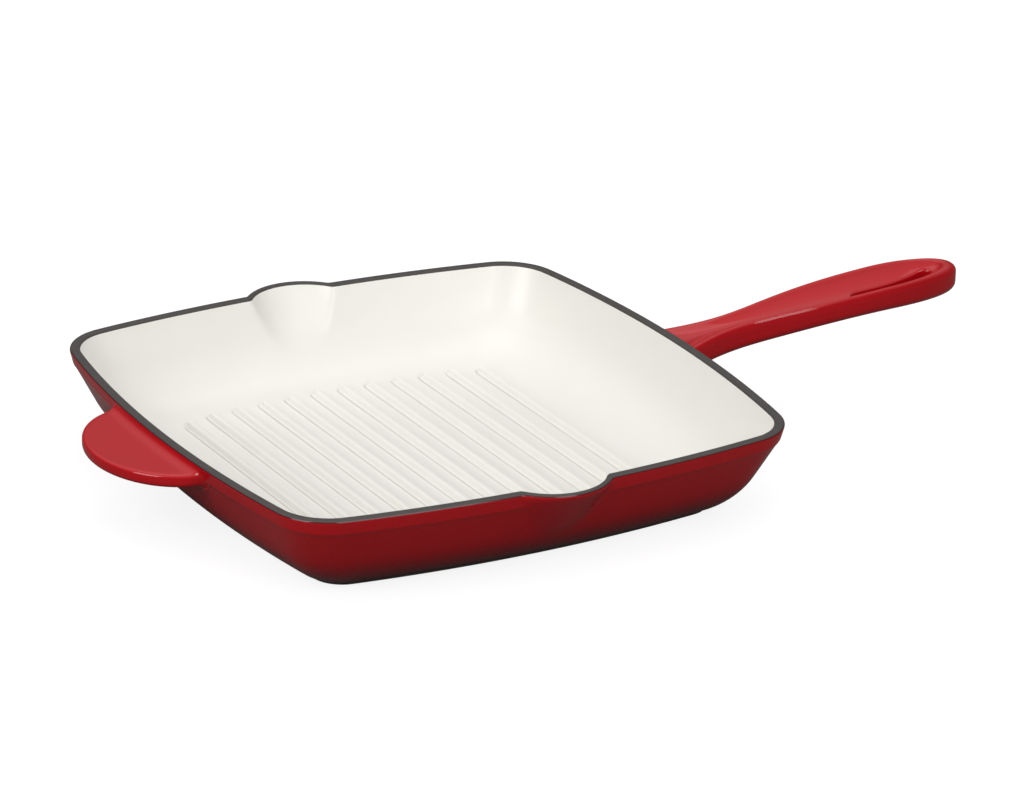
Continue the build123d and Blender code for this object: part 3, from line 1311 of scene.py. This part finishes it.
        first = collar[-1]
        fine = first + (inner - first) * np.sin(np.linspace(0, math.pi / 2, self.groove_samples))
        surface = np.stack([fine, self.groove(*spot(fine))], axis=1)
        run = np.concatenate([[0], np.cumsum(np.linalg.norm(np.diff(surface, axis=0), axis=1))])
        soft = self.ridge_share * self.ridge_rounding
        keep = np.linspace(0, run[-1] - soft, self.groove_steps)
        floor = np.stack([np.interp(keep, run, surface[:, axis]) for axis in range(2)], axis=1)
        slope = floor[-1] - floor[-2]
        pull = self.ridge_pull * soft
        crest = np.array((inner + soft, self.top(along + (inner + soft) * way[0])))
        ahead = floor[-1] + slope / np.linalg.norm(slope) * pull
        handles = (floor[-1], ahead, crest - np.array((pull, 0.0)), crest)
        bend = []
        for share in np.linspace(0, 1, self.ridge_steps)[1:]:
            rest = 1 - share
            weights = (rest**3, 3 * share * rest**2, 3 * share**2 * rest, share**3)
            bend.append(sum(weight * handle for weight, handle in zip(weights, handles)))
        wide = self.crown_share * (outer - inner - soft)
        crown = upper_edge(outer, self.top(along + outer * way[0]), wide, self.crown_drop, self.crown_steps)
        low = self.bottom_rounding
        heel = lower_edge(outer, under(outer), low * lean, low, self.heel_steps)
        side = np.linspace(crown[-1], heel[0], self.side_steps)[1:-1]
        back = np.linspace(heel[-1, 0], first, self.sole_steps)[1:]
        collar_top = np.stack([collar, self.groove(*spot(collar)) - drops], axis=1)
        sole = np.stack([back, under(back)], axis=1)
        collar_low = np.stack([collar, under(collar) + drops], axis=1)[::-1][1:]
        cut = np.concatenate([collar_top[:-1], floor, bend, crown, side, heel, sole, collar_low])
        return np.stack([*spot(cut[:, 0]), cut[:, 1]], axis=1)

    def _edge(
        self, along: float, way: np.ndarray, length: float, half: float, margin: float = 0.0
    ) -> tuple[float, float]:
        """Where a cut meets an edge of the handle in plan.

        Args:
            along: Distance along X of the cut's start.
            way: Direction of the cut.
            length: Length of the edge's oval end from the widest place.
            half: Half width of the edge at the widest place.
            margin: How far the edge lies inside the handle's side.

        Returns:
            Distance to the edge, and how much longer the cut's way through it is than straight across.
        """
        offset = along - self.belly
        if offset <= 0:
            return float(self._curve("half")(np.asarray(along))) - margin, 1.0
        # The cut meets the oval where square * distance**2 + slope * distance + rest is zero
        square = (way[0] / length) ** 2 + (way[1] / half) ** 2
        slope = 2 * offset * way[0] / length**2
        rest = (offset / length) ** 2 - 1
        distance = (-slope + math.sqrt(slope * slope - 4 * square * rest)) / (2 * square)
        normal = np.array(((offset + distance * way[0]) / length**2, distance * way[1] / half**2))
        return distance, float(1 / max(normal @ way / np.linalg.norm(normal), self.least_lean))

    def _slot_collar(self, along: float, angle: float, slotted: bool) -> tuple[np.ndarray, np.ndarray]:
        """Distances and drops of a cut over the slot's rounded edge: zero where there is no slot.

        Args:
            along: Distance along X of the point that the cut starts from.
            angle: Direction of the cut in plan.
            slotted: Whether the cut goes through the slot.

        Returns:
            Distances in the cut, and how far the edge lies below the groove at each.
        """
        before = max(self.slot_start - along, 0.0)
        if not slotted and before >= self.slot_half + self.slot_rounding:
            return np.zeros(self.collar_steps), np.zeros(self.collar_steps)
        beside = angle < math.pi / 2 - NEAR_ZERO or before == 0.0
        least = 0.0 if beside else max(before - self.slot_half, 0.0)
        start = math.acos(1 - min(least / self.slot_rounding, 1.0))
        gaps = self.slot_rounding * (1 - np.cos(np.linspace(start, math.pi / 2, self.collar_steps)))
        distances = self.slot_half + gaps
        if not beside:
            distances = np.sqrt(np.maximum(distances**2 - before**2, 0.0))
        return distances, rounding_drop(gaps, self.slot_rounding)

    def skin(self) -> bpy.types.Object:
        """Make the handle's outer surface, open at the wall.

        Returns:
            Object of the surface.
        """
        across = math.pi / 2
        spacing = self.root_spacing
        keys = np.arange(self.root_start, self.blend_end + spacing, spacing)
        table = np.array([self.section(key, across, False) for key in keys])
        normals, radii = self._root_normals(table[round((self.root_place - self.root_start) / spacing)])
        shares = np.linspace(0, 1, self.blend_rows)[1:]
        blend = RootBlend(self.pan).grow(keys, table, normals, radii, shares)
        lead = self.slot_start - self.slot_half
        collar = lead - self.slot_rounding
        places = [*np.linspace(self.blend_end, collar, self.shaft_rows)[1:]]
        places += [collar + share * self.slot_rounding for share in self.collar_shares]
        rows = [*blend, *(self.section(x, across, False) for x in places)]
        turns = np.linspace(0, across, self.slot_start_rows)
        cuts = [self.slot_start - self.slot_half * math.cos(turn) for turn in turns]
        cuts += [*np.linspace(self.slot_start, self.slot_end, self.slot_rows)[1:]]
        slotted = [self.section(max(x, lead), across, True) for x in cuts]
        turns = np.linspace(across, 0, self.tip_rows)[1:]
        slotted += [self.section(self.slot_end, turn, True) for turn in turns]
        walls = [np.linspace(cut[-1], cut[0], self.slot_wall_steps) for cut in slotted]
        maker = MeshMaker()
        maker.add_mirrored(np.array(rows + slotted), flip=True)
        maker.add_mirrored(np.array(walls), flip=True)
        return maker.mesh_object("handle_skin")

    def _root_normals(self, ring: np.ndarray) -> tuple[np.ndarray, np.ndarray]:
        """Outward directions of the handle's cut at the wall, and the radius of the hollow curve there.

        Args:
            ring: Points of the cut where it meets the wall: along, across and up.

        Returns:
            Direction of each point across and up, and the radius at each point.
        """
        normals = outward_normals(ring)
        across, up = ring[:, 1], ring[:, 2]
        middle = np.abs(across) < NEAR_ZERO
        normals[middle] = np.stack([np.zeros(middle.sum()), np.sign(up[middle] - self.root_height)], axis=1)
        below = self.pan.height - self.drop - up
        in_groove = (np.abs(across) < across.max() - self.ridge_width) & (up > self.root_height)
        side = self.crest_hollow + self.side_hollow * smooth_step(below / self.side_fall)
        dish = self.crest_hollow + self.dish_hollow * smooth_step(below / self.dish_fall)
        return normals, np.where(in_groove, dish, side)


@dataclass(frozen=True)
class HelperTab:
    """Helper tab across from the handle: half an oval in plan, with rounded edges.

    Lengths are in millimetres. A key is an angle along the oval, and cuts, rows and steps are counts.
    """

    pan: PanForm
    reach: float = 27.5
    half_width: float = 42.0
    overlap: float = 6.5
    drop: float = 4.5
    thickness: float = 6.0
    top_rounding: float = 1.5
    bottom_rounding: float = 2.4
    first_key: float = math.radians(2.0)
    root_cut: int = 10
    upper_hollow: float = 3.0
    lower_hollow: float = 2.2
    underside_lean: float = -0.5
    hollow_spread: int = 2
    blend_stretch: float = 1.9
    blend_steps: int = 12
    cuts: int = 120
    rows: int = 34
    edge_steps: int = 8
    face_steps: int = 14
    sole_steps: int = 10

    def skin(self) -> bpy.types.Object:
        """Make the tab's outer surface, open at the wall.

        Returns:
            Object of the surface.
        """
        keys = np.linspace(self.first_key, math.pi / 2, self.cuts)
        table = np.array([self._cut(key) for key in keys])
        normals = outward_normals(table[self.root_cut])
        radii = np.where(normals[:, 1] > self.underside_lean, self.upper_hollow, self.lower_hollow)
        width = 2 * self.hollow_spread + 1
        radii = np.pad(radii, self.hollow_spread, mode="edge")
        radii = np.convolve(radii, np.ones(width) / width, mode="valid")
        shares = np.sin(np.linspace(0, math.pi / 2, self.rows))[1:]
        blend = RootBlend(self.pan, self.blend_steps, self.blend_stretch)
        grid = blend.grow(keys, table, normals, radii, shares)
        maker = MeshMaker()
        maker.add_mirrored(grid * np.array((-1.0, 1.0, 1.0)))
        return maker.mesh_object("tab_skin")

    def _cut(self, key: float) -> np.ndarray:
        """Half of a cut through the tab, from the top's middle round to the underside's middle.

        Args:
            key: Angle along the oval, from its side to its tip.

        Returns:
            Points in millimetres, one row each, mirrored to the handle's side of the pan.
        """
        long_half = self.reach + self.overlap
        centre = self.pan.rim_half - self.overlap
        edge = np.array((centre + long_half * math.sin(key), self.half_width * math.cos(key)))
        normal = np.array((math.sin(key) / long_half, math.cos(key) / self.half_width))
        normal /= np.linalg.norm(normal)
        top = self.pan.height - self.drop
        low = top - self.thickness
        above, below = self.top_rounding, self.bottom_rounding
        middle = np.array((centre + (long_half - below) * math.sin(key), 0.0))
        upper, lower = edge - normal * above, edge - normal * below
        face = [(*(middle + (upper - middle) * share), top) for share in np.linspace(0, 1, self.face_steps)]
        sole = [(*(lower + (middle - lower) * share), low) for share in np.linspace(0, 1, self.sole_steps)]
        edges = [
            *upper_edge(0.0, top, above, above, self.edge_steps),
            *lower_edge(0.0, low, below, below, self.edge_steps),
        ]
        around = [(*(edge + normal * out), up) for out, up in edges]
        return np.array([*face[:-1], *around, *sole[1:]])


@dataclass(frozen=True)
class Pan:
    """The casting and its coats, with where the red one thins out and where shade is painted on it towards
    the foot, in millimetres.
    """

    form: PanForm = PanForm()
    ribs: RibRow = RibRow()
    rib_cores: RibRow = RibRow(half_width=1.6, top_half=0.9, root_run=0.8, end_gap=2.0)
    thin_height: float = 41.1
    thin_run: float = 0.6
    # Height up to which painted shade darkens the red wall, and how strong that shade is at the foot
    foot_shade_reach: float = 26.0
    foot_shade_strength: float = 0.75
    wall_slack: float = 0.1
    wall_span: float = 100.0
    floor_shares: tuple[float, ...] = (0.0, 0.25, 0.5, 0.75, 0.93)
    foot_shares: tuple[float, ...] = (0.75, 0.5, 0.25, 0.0)

    def build(self, nodes: dict[str, bpy.types.Object]) -> None:
        """Make every coat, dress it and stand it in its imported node's place.

        Args:
            nodes: Packed objects by name.
        """
        plan = (
            ("iron_casting", self._casting, CAST_IRON, Slot.IRON),
            ("interior_enamel", self._interior, CREAM_ENAMEL, Slot.CREAM),
            ("exterior_enamel", self._exterior, RED_ENAMEL, Slot.RED),
            ("rim_coat", self._rim, GROUND_COAT, Slot.GROUND),
            ("foot_coat", self._foot, GROUND_COAT, Slot.GROUND),
        )
        for node, _, finish, _ in plan:
            dress(nodes[node], finish)
        for node, make, finish, slot in plan:
            self._finish(make(), node, finish, slot)

    def _casting(self) -> bpy.types.Object:
        """Bare casting inside the coats: pan, rib cores, handle and tab.

        Returns:
            Object of the casting.
        """
        form = self.form
        rows = [*self._well_rows(), *self._rim_rows()[1:], *self._wall_rows()[1:], *self._foot_rows()[1:]]
        solids = [ring_skin("pan_core", rows), LongHandle(form).skin(), HelperTab(form).skin()]
        bar = self.rib_cores.bar(form.floor_height - form.coat)
        bars = self.rib_cores.set_out(bar, form, CAST_IRON.material())
        return joined("bare_casting", [*(shrunk(solid, form.coat) for solid in solids), bars])

    @staticmethod
    def _rings(path: np.ndarray, outline: Callable[[float, float], np.ndarray]) -> list[np.ndarray]:
        """Outline at each half width and height of a path, lifted to that height."""
        rings = [(outline(half, height), height) for half, height in path]
        return [np.concatenate([ring, np.full((len(ring), 1), height)], axis=1) for ring, height in rings]

    @staticmethod
    def _drawn_in(ring: np.ndarray, shares: Sequence[float]) -> list[np.ndarray]:
        """Copies of a level ring at shares of its size."""
        return [ring * np.array((share, share, 1.0)) for share in shares]

    def _well_rows(self) -> list[np.ndarray]:
        """Rings of the well, from the middle of its floor up to the bare rim."""
        rings = self._rings(self.form.cream_path(), self.form.inside_outline)
        return [*self._drawn_in(rings[0], self.floor_shares), *rings]

    def _wall_rows(self) -> list[np.ndarray]:
        """Rings of the outer wall, from the rim down to the foot."""
        return self._rings(self.form.red_path(), self.form.outside_outline)

    def _rim_rows(self) -> list[np.ndarray]:
        """Rings of the bare rim, from inside the well to the outside.

        Returns:
            Rings of points in millimetres.
        """
        form = self.form
        path = form.rim_path()
        count = form.arc_steps + 2
        inside = self._rings(path[:count], form.inside_outline)
        return inside + self._rings(path[count:], form.outside_outline)

    def _foot_rows(self) -> list[np.ndarray]:
        """Rings of the foot, from its side to the middle of its underside."""
        rings = self._rings(self.form.foot_path(), self.form.outside_outline)
        return [*rings, *self._drawn_in(rings[-1], self.foot_shares)]

    def _interior(self) -> bpy.types.Object:
        """Cream coat over the floor, the wall, the troughs and the ribs.

        Returns:
            Object of the coat.
        """
        form = self.form
        skin = give_thickness(ring_skin("well_skin", self._well_rows()), form.coat)
        rows = self.ribs.set_out(self.ribs.bar(form.floor_height), form, CREAM_ENAMEL.material())
        return joined("interior_coat", [skin, rows])

    def _exterior(self) -> bpy.types.Object:
        """Red coat over the outer wall, the spouts, the handle and the tab.

        Returns:
            Object of the coat.
        """
        form = self.form
        skins = [ring_skin("wall_skin", self._wall_rows()), LongHandle(form).skin(), HelperTab(form).skin()]
        coat = joined("exterior_coat", [give_thickness(skin, form.coat) for skin in skins])
        self._mark_thin_edge_and_shade(coat)
        return coat

    def _mark_thin_edge_and_shade(self, coat: bpy.types.Object) -> None:
        """Mark where the red coat thins out over the rim's outer edge, and the painted shade that darkens it
        towards the foot.

        Args:
            coat: Object of the red coat, which gets the attribute.
        """
        points = np.zeros(3 * len(coat.data.vertices))
        coat.data.vertices.foreach_get("co", points)
        x, y, z = points.reshape(-1, 3).T / MM
        along = np.clip(y, -self.wall_span, self.wall_span)
        on_wall = x < self.form.wall_reach(along, z) + self.wall_slack
        thin_and_shade = smooth_step((z - self.thin_height) / self.thin_run)
        # Painted shade: the red darkens towards the foot, where the wall turns down away from the light
        thin_and_shade = thin_and_shade + self.foot_shade_strength * smooth_step((self.foot_shade_reach - z) / self.foot_shade_reach)
        share = np.where(on_wall, thin_and_shade, 0.0)
        layer = coat.data.attributes.new(THIN_COAT_AND_SHADE, "FLOAT", "POINT")
        layer.data.foreach_set("value", share)

    def _rim(self) -> bpy.types.Object:
        """Bare ground coat over the rim."""
        return give_thickness(ring_skin("bare_rim_coat", self._rim_rows()), self.form.coat)

    def _foot(self) -> bpy.types.Object:
        """Bare ground coat under the foot."""
        return give_thickness(ring_skin("bare_foot_coat", self._foot_rows()), self.form.coat)

    @staticmethod
    def _finish(thing: bpy.types.Object, node: str, finish: PanFinish, slot: Slot) -> None:
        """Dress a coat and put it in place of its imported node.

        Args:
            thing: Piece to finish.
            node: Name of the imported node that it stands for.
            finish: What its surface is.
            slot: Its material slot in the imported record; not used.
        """
        smoothed(thing)
        dress(thing, finish)
        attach(thing, BODY)
        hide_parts(node)
        LOG.info("%s stands for %s: %d faces", thing.name, node, len(thing.data.polygons))


# Studio


@dataclass(frozen=True)
class Softbox:
    """Square lamp that looks at the pan.

    Attributes:
        name: Name of the lamp.
        place: Where it stands, in metres.
        size: Its width and height, in metres.
        power: Its power, in watts.
    """

    name: str
    place: tuple[float, float, float]
    size: tuple[float, float]
    power: float

    def stand(self) -> None:
        """Put the lamp in the scene."""
        lamp = bpy.data.lights.new(self.name, "AREA")
        lamp.shape = "RECTANGLE"
        lamp.size, lamp.size_y = self.size
        lamp.energy = self.power
        thing = linked(self.name, lamp)
        thing.location = self.place
        thing.rotation_euler = (-Vector(self.place)).to_track_quat("-Z", "Y").to_euler()


@dataclass(frozen=True)
class Studio:
    """Camera, lamps, world and floor."""

    focal_pixels: float = 4898.0
    image_width: float = 1025.0
    sensor: float = 36.0
    yaw: float = math.radians(60.22)
    pitch: float = math.radians(21.74)
    roll: float = math.radians(1.34)
    eye: tuple[float, float, float] = (-0.9547, -1.7484, 0.8287)
    horizon_light: float = 0.12
    dome_light: float = 0.78
    dome_start: float = 0.2
    dome_full: float = 0.8
    floor_colour: str = "#6f6e6d"
    floor_gap: float = 0.0003
    floor_shade_share: float = 0.25
    floor_glow: float = 0.85
    floor_half: float = 30.0
    view_length: float = 50.0
    lamps: tuple[Softbox, ...] = (
        Softbox("top_softbox", (0.15, 0.35, 1.3), (1.0, 1.0), 2.0),
        Softbox("left_softbox", (-1.85, -0.5, 1.05), (1.2, 1.2), 18.5),
        Softbox("right_softbox", (0.15, -1.95, 1.05), (1.2, 1.2), 13.5),
    )

    def build(self) -> None:
        """Set up everything that isn't the pan."""
        scene = bpy.context.scene
        scene.view_settings.view_transform = "Standard"
        self._camera(scene)
        self._world(scene)
        self._floor()
        for lamp in self.lamps:
            lamp.stand()

    def _camera(self, scene: bpy.types.Scene) -> None:
        """Camera at the photograph's place.

        Args:
            scene: Scene that gets the camera.
        """
        lens = bpy.data.cameras.new("camera")
        lens.sensor_width = self.sensor
        lens.lens = self.focal_pixels / self.image_width * self.sensor
        lens.clip_end = self.view_length
        level_ahead = Vector((math.cos(self.yaw), math.sin(self.yaw), 0.0))
        ahead = level_ahead * math.cos(self.pitch) - Vector((0.0, 0.0, math.sin(self.pitch)))
        level = Vector((math.sin(self.yaw), -math.cos(self.yaw), 0.0))
        up = level.cross(ahead)
        right = math.cos(self.roll) * level + math.sin(self.roll) * up
        up = math.cos(self.roll) * up - math.sin(self.roll) * level
        camera = linked("camera", lens)
        camera.matrix_world = Matrix.Translation(self.eye) @ Matrix((right, up, -ahead)).transposed().to_4x4()
        scene.camera = camera

    def _world(self, scene: bpy.types.Scene) -> None:
        """White world to the camera, softer to everything else.

        Args:
            scene: Scene that gets the world.
        """
        world = bpy.data.worlds.new("studio")
        tree = bare_tree(world)
        rays = add_node(tree, "ShaderNodeLightPath").outputs["Is Camera Ray"]
        way = add_node(tree, "ShaderNodeTexCoord").outputs["Generated"]
        rise = add_node(tree, "ShaderNodeSeparateXYZ", inputs={0: way}).outputs["Z"]
        dome = add_node(
            tree,
            "ShaderNodeMapRange",
            settings={"interpolation_type": "SMOOTHSTEP"},
            inputs={
                "Value": rise,
                "From Min": self.dome_start,
                "From Max": self.dome_full,
                "To Min": self.horizon_light,
                "To Max": self.dome_light,
            },
        )
        strength = dome.outputs["Result"]
        soft = add_node(tree, "ShaderNodeBackground", inputs={"Color": WHITE, "Strength": strength})
        white = add_node(tree, "ShaderNodeBackground", inputs={"Color": WHITE, "Strength": 1.0})
        mix = add_node(tree, "ShaderNodeMixShader", inputs={0: rays, 1: soft.outputs[0], 2: white.outputs[0]})
        add_node(tree, "ShaderNodeOutputWorld", inputs={"Surface": mix.outputs[0]})
        scene.world = world

    def _floor(self) -> None:
        """Plain floor: white to the camera where nothing shades it, and mid-grey to every other ray."""
        half = self.floor_half
        signs = ((-1, -1), (1, -1), (1, 1), (-1, 1))
        corners = [(x * half, y * half, -self.floor_gap) for x, y in signs]
        mesh = bpy.data.meshes.new("floor")
        mesh.from_pydata(corners, [], [(0, 1, 2, 3)])
        floor = linked("floor", mesh)
        material = bpy.data.materials.new("pale_paper_sweep")
        tree = bare_tree(material)
        rays = add_node(tree, "ShaderNodeLightPath").outputs["Is Camera Ray"]
        paper = add_node(tree, "ShaderNodeBsdfDiffuse", inputs={"Color": linear(self.floor_colour)})
        shade = self.floor_shade_share
        faint = add_node(tree, "ShaderNodeBsdfDiffuse", inputs={"Color": (shade, shade, shade, 1.0)})
        glow = add_node(tree, "ShaderNodeEmission", inputs={"Color": WHITE, "Strength": self.floor_glow})
        white = add_node(tree, "ShaderNodeAddShader", inputs={0: faint.outputs[0], 1: glow.outputs[0]})
        looks = {0: rays, 1: paper.outputs[0], 2: white.outputs[0]}
        mix = add_node(tree, "ShaderNodeMixShader", inputs=looks)
        add_node(tree, "ShaderNodeOutputMaterial", inputs={"Surface": mix.outputs[0]})
        mesh.materials.append(material)


def main() -> None:
    """Load the frame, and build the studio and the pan."""
    logging.basicConfig(level=logging.INFO)
    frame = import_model()
    Studio().build()
    Pan().build(frame["nodes"])


if __name__ == "__main__":
    main()
